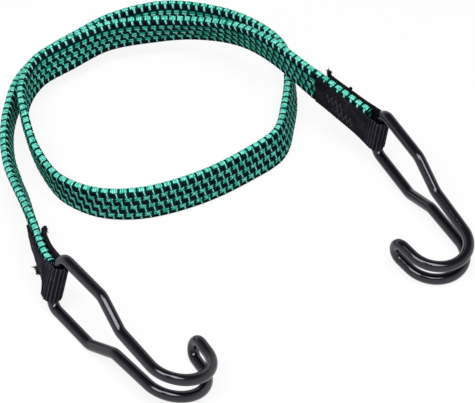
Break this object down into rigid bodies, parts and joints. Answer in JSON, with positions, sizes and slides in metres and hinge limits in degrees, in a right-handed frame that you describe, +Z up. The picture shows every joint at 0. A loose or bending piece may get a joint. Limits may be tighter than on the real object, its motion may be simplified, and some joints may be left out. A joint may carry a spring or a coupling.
{
  "type": "bungee cord",
  "caption": "Flat woven elastic bungee cord lying in a loose turn, with a vinyl-coated wire hook held in a sewn webbing tab at each end, for strapping down loads.",
  "frame": {"origin": "on the floor, at the centre of the box round the hooks and their webbing tabs", "axes": "+X across the picture, from the left hook towards the right one; +Y away from the viewer; +Z up"},
  "size_m": [0.209, 0.2483, 0.0363],
  "materials": {
    "woven_jacket": "woven green and black yarn",
    "rubber": "natural",
    "steel_wire": "drawn",
    "black_vinyl": "gloss dip coating",
    "black_webbing": "ribbed weave",
    "black_thread": "bonded thread"
  },
  "bodies": {
    "band": {"band_jacket": "woven_jacket", "rubber_strand_1": "rubber", "rubber_strand_2": "rubber", "rubber_strand_3": "rubber", "rubber_strand_4": "rubber", "rubber_strand_5": "rubber"},
    "right_end": {"right_webbing_tab": "black_webbing", "right_upper_tack_needle_thread": "black_thread", "right_upper_tack_bobbin_thread": "black_thread", "right_lower_tack_needle_thread": "black_thread", "right_lower_tack_bobbin_thread": "black_thread"},
    "right_hook": {"right_hook_wire": "steel_wire", "right_hook_coating": "black_vinyl"},
    "left_end": {"left_webbing_tab": "black_webbing", "left_upper_tack_needle_thread": "black_thread", "left_upper_tack_bobbin_thread": "black_thread", "left_lower_tack_needle_thread": "black_thread", "left_lower_tack_bobbin_thread": "black_thread"},
    "left_hook": {"left_hook_wire": "steel_wire", "left_hook_coating": "black_vinyl"}
  },
  "joints": [
    {"name": "right_end_stretch", "type": "slide", "parent": "band", "child": "right_end", "axis": [0.7403, -0.6526, -0.1616], "range_m": [0, 0.04], "stiffness_N_per_m": 400, "deforming": ["band_jacket", "rubber_strand_1", "rubber_strand_2", "rubber_strand_3", "rubber_strand_4", "rubber_strand_5"]},
    {"name": "right_hook_swing", "type": "hinge", "parent": "right_end", "child": "right_hook", "pos_m": [0.058, 0.0622, 0.0203], "axis": [0.0911, -0.1408, 0.9858], "range_deg": [-70, 175]},
    {"name": "left_end_stretch", "type": "slide", "parent": "band", "child": "left_end", "axis": [0.3248, -0.9432, 0.0698], "range_m": [0, 0.04], "stiffness_N_per_m": 400, "deforming": ["band_jacket", "rubber_strand_1", "rubber_strand_2", "rubber_strand_3", "rubber_strand_4", "rubber_strand_5"]},
    {"name": "left_hook_swing", "type": "hinge", "parent": "left_end", "child": "left_hook", "pos_m": [-0.0816, -0.0273, 0.0157], "axis": [0.2228, 0.148, 0.9636], "range_deg": [-175, 70]}
  ]
}
